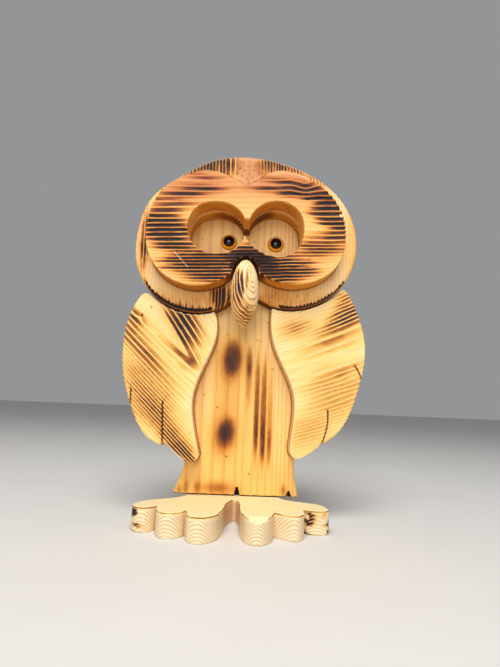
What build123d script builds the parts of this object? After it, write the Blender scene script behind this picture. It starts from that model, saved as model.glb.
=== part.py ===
"""Wooden owl figurine: a scroll-sawn stack of pine boards with glass eyes.

Millimetres. The owl faces -Y, +Z is up, and X = 0 is midway between the wings.
The origin is on the floor under the middle of the owl.
"""

from build123d import *
import os

# ---------------------------------------------------------------- driving sizes

BOARD = 20.0  # thickness of the body, head and face boards
WING_BOARD = 18.0  # thickness of the wing boards
BASE_BOARD = 18.0  # thickness of the foot board

BODY_BACK = 50.0  # y of the back of the whole stack
BODY_FRONT = BODY_BACK - BOARD
HEAD_FRONT = BODY_FRONT - BOARD
FACE_FRONT = HEAD_FRONT - BOARD

CENTRE_X = -2.7  # the owl's own centre line: its left wing is the wider one

EYE_DIAMETER = 15.0
PUPIL_DIAMETER = 10.0
EYE_RISE = 4.5  # height of the glass dome above the body board
EYE_Z = 243.8
EYE_X = (-18.8, 24.8)
PIN_DIAMETER = 2.0
PIN_INTO_GLASS = 2.0
PIN_INTO_WOOD = 14.0

KERF = 1.0  # width of the saw cuts between the wing feathers

BEAK_WIDTH = 23.6
BEAK_TOP = 217.0
BEAK_TIP = 158.5
BEAK_BELLY_OUT = 12.0  # from the head board to the beak's widest section
BEAK_HALF_DEPTH = 16.5  # from the widest section to the front of the beak

SCREW_DIAMETER = 4.0
SCREW_HEAD = 8.0
DOWEL_DIAMETER = 8.0

# -------------------------------------------------------------------- outlines
# Board outlines are drawn as (x, z), the foot outline as (x, y).

HEAD_POINTS = [
    (CENTRE_X, 190.0), (10.5, 186.3), (23.0, 180.6), (43.0, 179.3), (65.0, 186.3), (85.0, 203.4),
    (95.6, 228.0), (94.2, 258.0), (79.0, 286.5), (48.0, 308.4), (6.0, 319.6), (-36.0, 315.2),
    (-65.0, 298.4), (-89.5, 276.5), (-99.6, 246.0), (-97.6, 209.5), (-81.0, 185.6),
    (-56.0, 173.6), (-34.5, 173.4), (-16.5, 181.8),
]

FACE_NOTCH = (-4.8, 281.8)
FACE_RIGHT_LOBE = [
    FACE_NOTCH, (6.0, 288.8), (16.0, 294.8), (31.0, 296.4), (50.0, 289.8), (67.0, 278.3),
    (78.8, 259.5), (81.4, 234.0), (74.0, 212.6), (57.0, 199.6), (37.0, 195.6), (20.0, 198.6), (8.5, 204.0),
]
FACE_LEFT_LOBE = [
    (-13.8, 204.0), (-27.0, 194.6), (-44.0, 190.9), (-61.0, 193.8), (-77.0, 204.6), (-87.4, 226.0),
    (-87.0, 250.0), (-78.5, 271.6), (-61.0, 286.2), (-40.0, 293.2), (-20.5, 290.0), FACE_NOTCH,
]
ARCH_CENTRE = (-2.65, 204.0)
ARCH_HALF_WIDTH = 11.15
ARCH_HEIGHT = 14.0

SOCKET_CUSP = [(-0.6, 250.8), (-5.4, 251.0)]  # blunt end of the brow's point
SOCKET_PEAK = (-4.8, 236.6)
SOCKET_LEFT = [
    SOCKET_CUSP[1], (-13.0, 260.6), (-27.5, 265.3), (-44.0, 261.0), (-52.9, 246.0), (-47.6, 227.2),
    (-31.0, 219.5), (-14.6, 223.2), SOCKET_PEAK,
]
SOCKET_RIGHT = [
    SOCKET_PEAK, (5.6, 225.2), (21.5, 219.2), (38.0, 224.0), (45.4, 241.0), (41.0, 259.6),
    (25.0, 268.3), (8.0, 263.2), SOCKET_CUSP[0],
]

# The wings' top edges follow the head's underside, with a narrow gap.
LEFT_WING_TOP = [(-27.6, 174.0), (-40.0, 171.3), (-56.0, 172.2), (-72.0, 177.9), (-84.6, 186.6)]
LEFT_WING_OUTER = [
    (-84.6, 186.6), (-89.8, 187.6), (-94.6, 182.2), (-101.6, 166.0), (-104.6, 142.0),
    (-102.8, 119.0), (-94.0, 90.0), (-79.0, 65.6), (-65.5, 58.8),
]
LEFT_WING_FEATHER = [(-65.0, 61.2), (-50.0, 49.4), (-38.6, 45.8), (-34.8, 52.0)]
LEFT_WING_INNER = [
    (-34.8, 52.0), (-41.0, 79.0), (-42.6, 97.0), (-35.6, 123.0), (-25.8, 149.0), (-24.8, 164.0), (-27.6, 174.0),
]
RIGHT_WING_TOP = [(22.0, 179.4), (36.0, 177.4), (52.0, 179.7), (68.0, 186.3), (79.5, 195.0)]
RIGHT_WING_OUTER = [
    (79.5, 195.0), (84.8, 199.0), (91.4, 191.8), (99.8, 171.8), (104.4, 148.0),
    (103.0, 130.0), (96.6, 105.0), (83.6, 77.4), (66.7, 64.4),
]
RIGHT_WING_FEATHER = [(66.7, 64.4), (56.0, 55.6), (45.0, 52.2), (40.4, 60.0)]
RIGHT_WING_INNER = [
    (40.4, 60.0), (42.8, 80.0), (43.0, 103.0), (33.5, 127.6), (24.2, 149.0), (21.4, 168.0), (22.0, 179.4),
]

LEFT_WING = [LEFT_WING_TOP, LEFT_WING_OUTER, LEFT_WING_FEATHER, LEFT_WING_INNER]
RIGHT_WING = [RIGHT_WING_TOP, RIGHT_WING_OUTER, RIGHT_WING_FEATHER, RIGHT_WING_INNER]

# Saw cuts: the long one parts two feathers, the short one nicks the outer edge.
LEFT_KERFS = [[(-65.2, 56.0), (-66.2, 74.0), (-67.6, 95.0)], [(-94.8, 84.0), (-94.4, 94.0), (-94.6, 105.0)]]
RIGHT_KERFS = [[(65.0, 61.0), (71.3, 78.0), (72.0, 93.0)], [(101.8, 118.0), (99.0, 125.0), (95.2, 131.7)]]

BODY_LEFT = [
    (-57.2, BASE_BOARD), (-51.9, 30.5), (-47.9, 44.0), (-55.0, 70.0), (-69.0, 112.0), (-63.0, 165.0),
    (-60.0, 205.0), (-63.0, 245.0), (-50.0, 281.0), (CENTRE_X, 299.0),
]
BODY_RIGHT = [
    (CENTRE_X, 299.0), (44.0, 281.0), (57.0, 245.0), (55.0, 205.0), (57.0, 165.0), (62.0, 112.0),
    (50.6, 70.0), (46.8, 48.0), (47.4, 36.0), (48.7, 28.6), (51.0, BASE_BOARD),
]
BODY_CORNER_RADIUS = 2.0
# Wedges of soft grain burnt out of the body's bottom edge: x, width, height.
BURNT_NOTCHES = [(-1.9, 4.0, 6.5), (42.4, 3.4, 5.0)]
NOTCH_DEPTH = 7.0

FOOT_GAP = [
    (-14.6, -32.0), (-11.4, -14.0), (-9.2, 4.0), (-3.4, 16.8), (0.0, 4.0), (0.4, -20.0), (3.0, -38.0),
]
LEFT_TOES = [
    [(-14.6, -32.0), (-18.4, -44.6), (-28.4, -50.8), (-35.4, -47.0), (-37.6, -36.0), (-39.4, -30.0)],
    [(-39.4, -30.0), (-43.0, -37.0), (-53.0, -40.0), (-58.4, -35.0), (-60.8, -25.6), (-62.4, -17.4)],
    [(-62.4, -17.4), (-66.2, -23.4), (-72.0, -25.4), (-77.2, -22.6), (-78.6, -10.6)],
]
RIGHT_TOES = [
    [(3.0, -38.0), (6.6, -47.2), (13.0, -50.8), (20.4, -45.0), (24.6, -33.0), (26.2, -27.2)],
    [(26.2, -27.2), (33.0, -34.0), (41.0, -37.2), (46.4, -31.6), (48.6, -21.0), (49.6, -12.4)],
    [(49.6, -12.4), (53.4, -16.8), (60.0, -18.2), (66.4, -16.4), (68.0, -7.0)],
]
LEFT_HEEL = [(-78.6, -10.6), (-72.4, 1.2), (-57.6, 11.4), (-48.2, 21.0), (-45.0, 36.0)]
RIGHT_HEEL = [(68.0, -7.0), (62.4, 7.6), (48.6, 14.8), (37.8, 23.0), (35.0, 36.0)]
HEEL_BACK = 51.5
HEEL_RADIUS = 10.0

# ---------------------------------------------------------------- shared helpers


def board(outline, back, thickness):
    """Stand a flat (x, z) outline up as a board whose back face is at y = back."""
    return Pos(0, back, 0) * Rot(90, 0, 0) * extrude(outline, thickness)


def curve(points):
    """A smooth edge through the given (x, y) points."""
    return Spline(*[Vector(x, y) for x, y in points])


def closed_face(*edges):
    """The flat face inside a loop of edges."""
    return make_face(Wire(list(edges)))


def smooth_face(*runs):
    """The flat face inside smooth runs of points, with a straight step wherever two runs don't meet."""
    edges = []
    for run, next_run in zip(runs, runs[1:] + runs[:1]):
        edges.append(curve(run))
        if run[-1] != next_run[0]:
            edges.append(Line(run[-1], next_run[0]))
    return closed_face(*edges)


def cylinder_y(diameter, x, z, y_from, y_to):
    """A round bar along Y."""
    bar = Cylinder(diameter / 2, y_to - y_from, align=(Align.CENTER, Align.CENTER, Align.MIN))
    return Pos(x, y_from, z) * Rot(-90, 0, 0) * bar


def saw_cut(points, back, thickness):
    """A narrow cut right through a board, along a smooth line of (x, z) points."""
    line = curve(points)
    return board(trace(line, KERF), back + 1, thickness + 2)


def screw_blank(length):
    """Countersunk screw along +Z without its drive: flat head at z = 0, point at z = length."""
    radius = SCREW_DIAMETER / 2
    head_radius = SCREW_HEAD / 2
    shoulder = head_radius - radius
    point = length - 3.0
    profile = Polyline((0, 0), (head_radius, 0), (radius, shoulder), (radius, point), (0, length), close=True)
    return revolve(make_face(Plane.XZ * profile), Axis.Z)


def cross_drive():
    """The cross cut into a screw's head, sunk from z = 0."""
    slot = Box(4.4, 1.0, 1.4, align=(Align.CENTER, Align.CENTER, Align.MIN))
    return slot + Rot(0, 0, 90) * slot


def from_back(x, z):
    """The place of a screw driven forward into the back of the body board."""
    return Pos(x, BODY_BACK, z) * Rot(90, 0, 0)


def from_below(x, y):
    """The place of a screw driven up through the foot board."""
    return Pos(x, y, 0)


def drilled(wood, tools):
    """The wood with the exact room of its fasteners cut out."""
    for tool in tools:
        wood = wood - tool
    return wood


def save(name, *solids):
    """Write one sub-part as parts/NAME.step; several solids stay a group."""
    shape = solids[0] if len(solids) == 1 else Compound(children=list(solids))
    shape.label = name
    export_step(shape, os.path.join("parts", name + ".step"))


# --------------------------------------------------------------------- fasteners

BASE_SCREW_PLACES = [(-27.0, 40.0), (17.0, 40.0)]
BASE_SCREW_LENGTH = 45.0
HEAD_SCREW_PLACES = [(-27.0, 283.0), (21.0, 284.0), (CENTRE_X, 212.0)]
HEAD_SCREW_LENGTH = 32.0
WING_SCREW_PLACES = {"left": [(-48.0, 152.0), (-56.0, 104.0)], "right": [(44.0, 152.0), (53.0, 108.0)]}
WING_SCREW_LENGTH = 30.0
FACE_DOWEL_PLACES = [(-69.0, 236.0), (62.0, 236.0)]
FACE_DOWEL_SPAN = (HEAD_FRONT - 12.0, HEAD_FRONT + 12.0)
BEAK_DOWEL_PLACE = (CENTRE_X, 200.0)
BEAK_DOWEL_SPAN = (HEAD_FRONT - 10.0, HEAD_FRONT + 9.0)
BEAK_DOWEL_DIAMETER = 6.0


def screw_room(places, length):
    """The room that a set of screws takes up."""
    return [place * screw_blank(length) for place in places]


def screw_set(places, length):
    """The screws themselves, with their drives cut."""
    return [place * (screw_blank(length) - cross_drive()) for place in places]


base_places = [from_below(x, y) for x, y in BASE_SCREW_PLACES]
head_places = [from_back(x, z) for x, z in HEAD_SCREW_PLACES]
wing_places = {side: [from_back(x, z) for x, z in spots] for side, spots in WING_SCREW_PLACES.items()}
all_wing_places = wing_places["left"] + wing_places["right"]

base_room = screw_room(base_places, BASE_SCREW_LENGTH)
head_room = screw_room(head_places, HEAD_SCREW_LENGTH)
wing_room = {side: screw_room(places, WING_SCREW_LENGTH) for side, places in wing_places.items()}

face_dowels = [cylinder_y(DOWEL_DIAMETER, x, z, *FACE_DOWEL_SPAN) for x, z in FACE_DOWEL_PLACES]
beak_dowel = cylinder_y(BEAK_DOWEL_DIAMETER, *BEAK_DOWEL_PLACE, *BEAK_DOWEL_SPAN)

# -------------------------------------------------------------------------- eyes


def eye_pin(x):
    """Straight wire pin that holds a glass eye in the body board."""
    return cylinder_y(PIN_DIAMETER, x, EYE_Z, BODY_FRONT - PIN_INTO_GLASS, BODY_FRONT + PIN_INTO_WOOD)


def eye_dome(x):
    """The glass dome before it is parted into pupil and iris."""
    radius = EYE_DIAMETER / 2
    sphere_radius = (radius**2 + EYE_RISE**2) / (2 * EYE_RISE)
    sphere = Pos(x, BODY_FRONT - EYE_RISE + sphere_radius, EYE_Z) * Sphere(sphere_radius)
    return sphere & cylinder_y(EYE_DIAMETER, x, EYE_Z, BODY_FRONT - EYE_RISE - 1, BODY_FRONT)


def pupil_core(x):
    """The cylinder that parts the black pupil from the amber iris."""
    return cylinder_y(PUPIL_DIAMETER, x, EYE_Z, BODY_FRONT - EYE_RISE - 1, BODY_FRONT)


# ------------------------------------------------------------------------ boards


def make_body():
    """Bottle-shaped board at the back that carries everything else."""
    outline = smooth_face(BODY_LEFT, BODY_RIGHT)
    corners = outline.vertices().group_by(Axis.Y)[0]
    body = board(fillet(corners, BODY_CORNER_RADIUS), BODY_BACK, BOARD)
    for x, width, height in BURNT_NOTCHES:
        foot = BASE_BOARD - 1
        wedge = Polyline(
            (x - width / 2, foot), (x, BASE_BOARD + height), (x + width / 2, foot), close=True
        )
        body -= board(make_face(wedge), BODY_FRONT + NOTCH_DEPTH, NOTCH_DEPTH + 1)
    pins = [eye_pin(x) for x in EYE_X]
    return drilled(body, base_room + head_room + wing_room["left"] + wing_room["right"] + pins)


def socket_outline():
    """Both eye holes, which run into one another between the brow's point and the nose's peak."""
    return smooth_face(SOCKET_LEFT, SOCKET_RIGHT)


def head_outline():
    return closed_face(Spline(*[Vector(x, z) for x, z in HEAD_POINTS], periodic=True))


def make_head():
    """Wide oval board with a lobed chin and the eye holes sawn through."""
    head = board(head_outline(), BODY_FRONT, BOARD) - board(socket_outline(), BODY_FRONT, BOARD)
    return drilled(head, head_room + face_dowels + [beak_dowel])


def make_face_board():
    """Heart-topped face board with an arch for the beak and the same eye holes."""
    arch = EllipticalCenterArc(ARCH_CENTRE, ARCH_HALF_WIDTH, ARCH_HEIGHT, start_angle=0, arc_size=180)
    outline = closed_face(curve(FACE_RIGHT_LOBE), arch, curve(FACE_LEFT_LOBE))
    face = board(outline, HEAD_FRONT, BOARD) - board(socket_outline(), HEAD_FRONT, BOARD)
    return drilled(face, face_dowels)


def make_wing(runs, kerfs, room):
    """A feathered wing board, scribed to the underside of the head."""
    wing = board(smooth_face(*runs), BODY_FRONT, WING_BOARD)
    for points in kerfs:
        wing -= saw_cut(points, BODY_FRONT, WING_BOARD)
    return drilled(wing, room)


def make_base():
    """The two feet in one board: three toes each, a gap between, and a heel under the body."""
    heel = FilletPolyline(
        LEFT_HEEL[-1], (LEFT_HEEL[-1][0], HEEL_BACK), (RIGHT_HEEL[-1][0], HEEL_BACK), RIGHT_HEEL[-1],
        radius=HEEL_RADIUS,
    )
    edges = [curve(points) for points in LEFT_TOES + RIGHT_TOES + [FOOT_GAP, LEFT_HEEL, RIGHT_HEEL]]
    base = extrude(make_face(Wire(edges + heel.edges())), BASE_BOARD)
    return drilled(base, base_room)


def make_beak():
    """Pointed egg carved from one block, flat where it is glued to the head."""
    half_height = (BEAK_TOP - BEAK_TIP) / 2
    middle_z = (BEAK_TOP + BEAK_TIP) / 2
    size = (BEAK_WIDTH / 2, BEAK_HALF_DEPTH, half_height)
    belly = Pos(CENTRE_X, HEAD_FRONT - BEAK_BELLY_OUT, middle_z) * scale(Sphere(1), by=size)
    seat = Box(60, 60, 120, align=(Align.CENTER, Align.MIN, Align.CENTER))
    beak = belly - Pos(CENTRE_X, HEAD_FRONT, middle_z) * seat
    return beak - beak_dowel


# -------------------------------------------------------------------------- write

os.makedirs("parts", exist_ok=True)

save("base_feet", make_base())
save("body_board", make_body())
save("head_board", make_head())
save("face_board", make_face_board())
save("left_wing", make_wing(LEFT_WING, LEFT_KERFS, wing_room["left"]))
save("right_wing", make_wing(RIGHT_WING, RIGHT_KERFS, wing_room["right"]))
save("beak", make_beak())
for side, x in zip(("left", "right"), EYE_X):
    save(side + "_eye_iris", eye_dome(x) - pupil_core(x))
    save(side + "_eye_pupil", (eye_dome(x) & pupil_core(x)) - eye_pin(x))
    save(side + "_eye_pin", eye_pin(x))
save("base_screws", *screw_set(base_places, BASE_SCREW_LENGTH))
save("head_screws", *screw_set(head_places, HEAD_SCREW_LENGTH))
save("wing_screws", *screw_set(all_wing_places, WING_SCREW_LENGTH))
save("face_dowels", *face_dowels)
save("beak_dowel", beak_dowel)
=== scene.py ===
"""Looks of the wooden owl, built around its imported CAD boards.

Blender objects are in metres, in the CAD frame: the owl faces -Y and +Z is up. Patterns in the wood
are worked out in millimetres in that same frame, and turned into metres when a mesh is made. On a
board, u and v are the X and Z of a point on its face, or X and Y on the lying foot board, and w is
how deep the point lies behind the face. A field gives a number for each such point.
"""

import math
from dataclasses import dataclass, field
from typing import Callable

import bpy
import numpy as np
from mathutils import Matrix, Vector
from mathutils.geometry import delaunay_2d_cdt
from mathutils.kdtree import KDTree


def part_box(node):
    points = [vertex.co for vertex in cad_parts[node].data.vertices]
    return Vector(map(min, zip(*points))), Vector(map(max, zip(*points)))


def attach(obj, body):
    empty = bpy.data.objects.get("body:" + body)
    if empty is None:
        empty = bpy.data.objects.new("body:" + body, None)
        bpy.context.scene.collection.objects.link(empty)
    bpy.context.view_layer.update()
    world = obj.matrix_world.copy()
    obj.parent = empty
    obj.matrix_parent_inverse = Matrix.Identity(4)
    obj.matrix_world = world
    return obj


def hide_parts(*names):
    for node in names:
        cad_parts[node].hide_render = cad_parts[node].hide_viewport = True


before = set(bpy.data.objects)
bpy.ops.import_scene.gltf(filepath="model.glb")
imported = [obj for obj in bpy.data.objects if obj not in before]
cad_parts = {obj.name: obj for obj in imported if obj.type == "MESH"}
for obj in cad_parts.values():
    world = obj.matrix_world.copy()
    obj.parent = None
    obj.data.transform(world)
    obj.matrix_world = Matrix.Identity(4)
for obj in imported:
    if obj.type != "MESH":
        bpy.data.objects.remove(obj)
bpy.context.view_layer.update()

MM = 0.001
BODY = "root"
CENTRE_X = -2.7  # the owl's own centre line


def box_mm(node):
    """A CAD node's lowest and highest corners in millimetres."""
    low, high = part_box(node)
    return np.array(low) / MM, np.array(high) / MM


# ------------------------------------------------------------------------- noise


def lattice(ix, iy, iz, seed):
    """A repeatable number from 0 to 1 for each whole-number cell."""
    mask = 0xFFFFFFFF
    h = (ix * 374761393 + iy * 668265263 + iz * 1440662683 + seed * 97531) & mask
    h = ((h ^ (h >> 13)) * 1274126177) & mask
    return ((h ^ (h >> 16)) & 0xFFFF) / 65535.0


def noise(points, scale, seed=0):
    """Smooth noise from -1 to 1 at (n, 3) points; scale is the size of one cell in each direction."""
    p = np.asarray(points, float) / np.asarray(scale, float)
    base = np.floor(p).astype(np.int64)
    t = p - base
    t = t * t * (3 - 2 * t)
    total = np.zeros(len(p))
    for corner in np.ndindex(2, 2, 2):
        weight = np.prod(np.where(corner, t, 1 - t), axis=1)
        total += weight * lattice(*(base + np.array(corner)).T, seed)
    return total * 2 - 1


def noise_at(u, v, w, scale, seed):
    """The same noise at coordinates given one by one, where a plain 0 stands for all points."""
    return noise(np.column_stack(np.broadcast_arrays(u, v, w)), scale, seed)


def cos_sin(degrees):
    return math.cos(math.radians(degrees)), math.sin(math.radians(degrees))


def smoothstep(low, high, value):
    t = np.clip((value - low) / (high - low), 0, 1)
    return t * t * (3 - 2 * t)


# -------------------------------------------------------------------- wood pattern
# A growth ring runs from 0 to 1: soft earlywood that flame and brush hollow out, then a hard ridge.

RING_STOPS = ((0.0, 0.0), (0.57, 0.0), (0.66, 1.0), (0.90, 1.0), (1.0, 0.0))


def ridge(rings):
    """1 on a hard ridge and 0 in the hollow of soft wood, for a ring count."""
    at, height = zip(*RING_STOPS)
    return np.interp(rings % 1.0, at, height)


@dataclass
class Blotch:
    """A scorched patch, as an ellipse on the board with soft edges."""

    u: float
    v: float
    ru: float
    rv: float
    strength: float
    turn: float = 0.0
    hardness: float = 2.0


def patches(*rows):
    """Blotches from rows of u, v, ru, rv and strength, then turn and hardness where they differ."""
    return [Blotch(*row) for row in rows]


def blotches(spots, u, v):
    """How scorched each (u, v) is: overlapping patches add up without passing 1."""
    clear = np.ones(len(u))
    for s in spots:
        c, n = cos_sin(s.turn)
        du, dv = u - s.u, v - s.v
        along, across = (c * du + n * dv) / s.ru, (c * dv - n * du) / s.rv
        r = np.sqrt(along**2 + across**2)
        clear *= 1 - s.strength * np.exp(-(r**s.hardness) * 0.9)
    return 1 - clear


# ---------------------------------------------------------------- reading the boards

CORNER_TURN = math.radians(32)
STRAIGHT_LENGTH = 3.5  # a longer step between outline points is a straight line
KERF_REACH = 1.4  # outline points closer than this across empty space are the sides of a saw cut
FAR = 1e3  # a distance past every board


def flat_loops(node, axis, level):
    """Closed outlines, in millimetres, of a CAD node's flat face at that level along an axis."""
    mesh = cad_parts[node].data
    co = np.array([v.co for v in mesh.vertices]) / MM
    mesh.calc_loop_triangles()
    on_face = np.abs(co[:, axis] - level) < 0.002
    keep = [i for i in range(3) if i != axis]
    keys = [tuple(np.round(p, 3)) for p in co[:, keep]]
    place = dict(zip(keys, co[:, keep]))
    edges = {}
    for tri in mesh.loop_triangles:
        corners = list(tri.vertices)
        if all(on_face[i] for i in corners):
            for a, b in zip(corners, corners[1:] + corners[:1]):
                ka, kb = keys[a], keys[b]
                if (kb, ka) in edges:
                    del edges[(kb, ka)]
                else:
                    edges[(ka, kb)] = True
    following = {a: b for a, b in edges}
    loops = []
    while following:
        start, here = next(iter(following.items()))
        loop = [start]
        del following[start]
        while here != start:
            loop.append(here)
            here = following.pop(here)
        loops.append(np.array([place[k] for k in loop]))
    return sorted(loops, key=lambda l: -abs(area(l)))


def area(loop):
    x, y = loop.T
    return 0.5 * float(np.sum(x * np.roll(y, -1) - y * np.roll(x, -1)))


def with_wood_on_left(loops):
    """The outer outline runs anticlockwise and holes run clockwise, so wood is on the left of both."""
    return [l if (area(l) > 0) == (i == 0) else l[::-1] for i, l in enumerate(loops)]


def resample(loop, step):
    """The loop again as a smooth curve through its points, sampled about one step apart, corners kept."""
    ahead = np.roll(loop, -1, 0) - loop
    length = np.linalg.norm(ahead, axis=1)
    unit = ahead / length[:, None]
    back, back_length = np.roll(unit, 1, 0), np.roll(length, 1)
    turn = np.arccos(np.clip(np.sum(unit * back, axis=1), -1, 1))
    tangent = back * length[:, None] + unit * back_length[:, None]
    tangent /= np.linalg.norm(tangent, axis=1)[:, None]
    straight = length > STRAIGHT_LENGTH
    corner = (turn > CORNER_TURN) | np.roll(straight, 1) | straight
    points = []
    for i in range(len(loop)):
        j = (i + 1) % len(loop)
        t0 = unit[i] if corner[i] else tangent[i]
        t1 = unit[i] if corner[j] else tangent[j]
        count = max(1, int(round(length[i] / step)))
        for t in np.arange(count) / count:
            a, b = loop[i], loop[j]
            h = (2 * t**3 - 3 * t**2 + 1, t**3 - 2 * t**2 + t, -2 * t**3 + 3 * t**2, t**3 - t**2)
            points.append(h[0] * a + h[1] * t0 * length[i] + h[2] * b + h[3] * t1 * length[i])
    return np.array(points)


def inward_normals(loop):
    """Unit normals that point into the wood, on the left of the loop."""
    ahead = np.roll(loop, -1, 0) - loop
    ahead /= np.linalg.norm(ahead, axis=1)[:, None]
    mean = ahead + np.roll(ahead, 1, 0)
    mean /= np.maximum(np.linalg.norm(mean, axis=1), 0.2)[:, None]
    return np.stack([-mean[:, 1], mean[:, 0]], axis=1)


def inside(points, loops):
    """Whether each point lies in the wood, by counting the outline edges to its right."""
    a = np.concatenate(loops)
    b = np.concatenate([np.roll(l, -1, 0) for l in loops])
    result = np.zeros(len(points), bool)
    for start in range(0, len(points), 4000):
        x, y = points[start : start + 4000].T
        x, y = x[:, None], y[:, None]
        crosses = (a[:, 1] > y) != (b[:, 1] > y)
        with np.errstate(divide="ignore", invalid="ignore"):
            at = a[:, 0] + (y - a[:, 1]) * (b[:, 0] - a[:, 0]) / (b[:, 1] - a[:, 1])
        result[start : start + 4000] = np.sum(crosses & (x < at), axis=1) % 2 == 1
    return result


@dataclass
class Outline:
    """A board's outline as points with wood on the left, and what is needed to measure from it."""

    loops: list
    crisp_holes: bool = False
    point: np.ndarray = field(init=False)
    normal: np.ndarray = field(init=False)
    following: np.ndarray = field(init=False)
    kerf: np.ndarray = field(init=False)  # whether a point is on the side of a saw cut
    every: np.ndarray = field(init=False)  # numbers of all points, of plain ones and of those on cuts
    plain: np.ndarray = field(init=False)
    cuts: np.ndarray = field(init=False)

    def __post_init__(self):
        self.point = np.concatenate(self.loops)
        self.normal = np.concatenate([inward_normals(l) for l in self.loops])
        starts = np.cumsum([0] + [len(l) for l in self.loops])
        self.following = np.concatenate(
            [np.roll(np.arange(s, s + len(l)), -1) for s, l in zip(starts, self.loops)]
        )
        self.every = np.arange(len(self.point))
        tree = self.tree(self.every)
        self.kerf = np.zeros(len(self.point), bool)
        for i, (p, n) in enumerate(zip(self.point, self.normal)):
            for _, j, _ in tree.find_range((p[0], p[1], 0), KERF_REACH):
                across = self.point[j] - p
                facing = self.normal[j] @ n < -0.7
                if facing and across @ n < -0.3:
                    self.kerf[i] = True
        if self.crisp_holes:
            self.kerf[starts[1] :] = True
        self.plain, self.cuts = np.flatnonzero(~self.kerf), np.flatnonzero(self.kerf)

    def tree(self, indices):
        tree = KDTree(len(indices))
        for i in indices:
            tree.insert((*self.point[i], 0), int(i))
        tree.balance()
        return tree

    def distance(self, points, indices):
        """Distance from each point to the chosen outline points' edges, and the nearest one's normal."""
        if len(indices) == 0:
            return np.full(len(points), FAR), np.zeros((len(points), 2))
        tree = self.tree(indices)
        nearest = np.array([tree.find((x, y, 0))[1] for x, y in points])
        previous = np.empty_like(self.following)
        previous[self.following] = np.arange(len(self.following))
        best = np.full(len(points), np.inf)
        for a, b in ((nearest, self.following[nearest]), (previous[nearest], nearest)):
            p, q = self.point[a], self.point[b]
            d = q - p
            t = np.clip(np.sum((points - p) * d, 1) / np.maximum(np.sum(d * d, 1), 1e-12), 0, 1)
            best = np.minimum(best, np.linalg.norm(points - p - d * t[:, None], axis=1))
        return best, self.normal[nearest]


# ------------------------------------------------------------------ building a board

OUTLINE_STEP = 0.62
ROUND_STEPS = (15, 30, 45, 60, 75, 90)  # degrees round the edge, for the rows of points on it
KERF_ROUND = 0.3
BACK_ROUND = 0.6
SCREW_HOLE_DEPTH = 4.0
SCREW_HOLE_GAP = 0.12  # room round a screw's head
SCREW_HOLE_SIDES = 40
SCREW_HOLE_AREA = (40, 60)  # of the holes on a back face, in square millimetres
BOARD_AREA = 100  # every outline of the board itself encloses more than this


@dataclass
class Cover:
    """Another board that hides part of this one: points well inside its outline are thinned out."""

    outline: Outline
    margin: float = 5.0


@dataclass
class Board:
    """A sawn board: where it stands, how its edges are rounded, and the fields of its wood."""

    node: str
    slot: str
    ring: Callable  # growth-ring count at (u, v, w)
    burn: Callable  # scorching that follows the soft wood, at (u, v, w, ring)
    toast_and_shade: Callable  # even browning, and painted shade on sawn sides, in joints and under ledges, at (u, v, w)
    grain_turn: float  # degrees from +u to the grain
    edge_round: float
    groove: float = 0.22  # depth of an unburnt groove
    burnt_groove: float = 0.75  # further depth where it is fully scorched
    rosy_and_shade: Callable = lambda u, v, w: 0 * u  # pinkish heat tint, and painted shade in the base's valley
    bare_and_highlight: Callable = lambda u, v, w: 0 * u  # fresh wood in a scratch, chip or rubbed spot, and painted highlights on lit edges
    pale_sides: Callable = lambda u, v, w: 0 * u  # where lit sawn sides are spared the painted side shade and keep the face's colour
    pocket: Callable = lambda u, v: 0 * u  # depth burnt or cut away from the front
    burnt_pocket: bool = True  # and the pocket is black inside
    lying: bool = False  # its face looks up, not forward
    step: tuple = (1.5, 0.42)  # between points on the front, along and across the grain
    back_step: tuple = (4.0, 1.1)
    front_covers: tuple = ()
    back_covers: tuple = ()
    wall_step: float = 1.3  # between rows of points down the sides


def rounded_depth(distance, radius):
    """How far a rounded edge falls below the face at a distance from the outline."""
    short = np.clip(radius - distance, 0, radius)
    return radius - np.sqrt(radius**2 - short**2)


def grid_points(outline, turn, step, clear):
    """Points on a brick pattern along the grain, inside the outline and clear of it."""
    c, s = cos_sin(turn)
    spin = np.array([[c, s], [-s, c]])
    turned = outline.point @ spin.T
    low, high = turned.min(0), turned.max(0)
    across = np.arange(low[1], high[1], step[1])
    along = np.arange(low[0], high[0], step[0])
    a, b = np.meshgrid(along, across)
    a = a + (np.arange(len(across)) % 2)[:, None] * step[0] / 2
    points = np.stack([a.ravel(), b.ravel()], 1) @ spin
    points = points[inside(points, outline.loops)]
    regular, _ = outline.distance(points, outline.plain)
    cut, _ = outline.distance(points, outline.cuts)
    return points[(regular > clear) & (cut > min(clear, KERF_ROUND + 0.25))]


def thinned(points, covers, every=9):
    """Leaves out most of the points that another board hides."""
    keep = np.ones(len(points), bool)
    for cover in covers:
        hidden = inside(points, cover.outline.loops)
        distance, _ = cover.outline.distance(points, cover.outline.every)
        keep &= ~(hidden & (distance > cover.margin))
    keep[::every] = True
    return points[keep]


def triangulate(fixed, loops, extra):
    """Triangles over the wood: fixed points joined by loops of indices, and loose points between them."""
    points = np.concatenate([fixed, extra]) if len(extra) else fixed
    edges = [(int(a), int(b)) for loop in loops for a, b in zip(loop, np.roll(loop, -1))]
    out = delaunay_2d_cdt([Vector(p) for p in points], edges, [], 0, 1e-5, True)
    verts, faces, origin = np.array([v[:] for v in out[0]]), np.array(out[2]), out[3]
    centre = verts[faces].mean(1)
    faces = faces[inside(centre, [points[l] for l in loops])]
    place = np.zeros(len(points), int)
    for new, olds in enumerate(origin):
        for old in olds:
            place[old] = new
    return verts, faces, place


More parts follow.
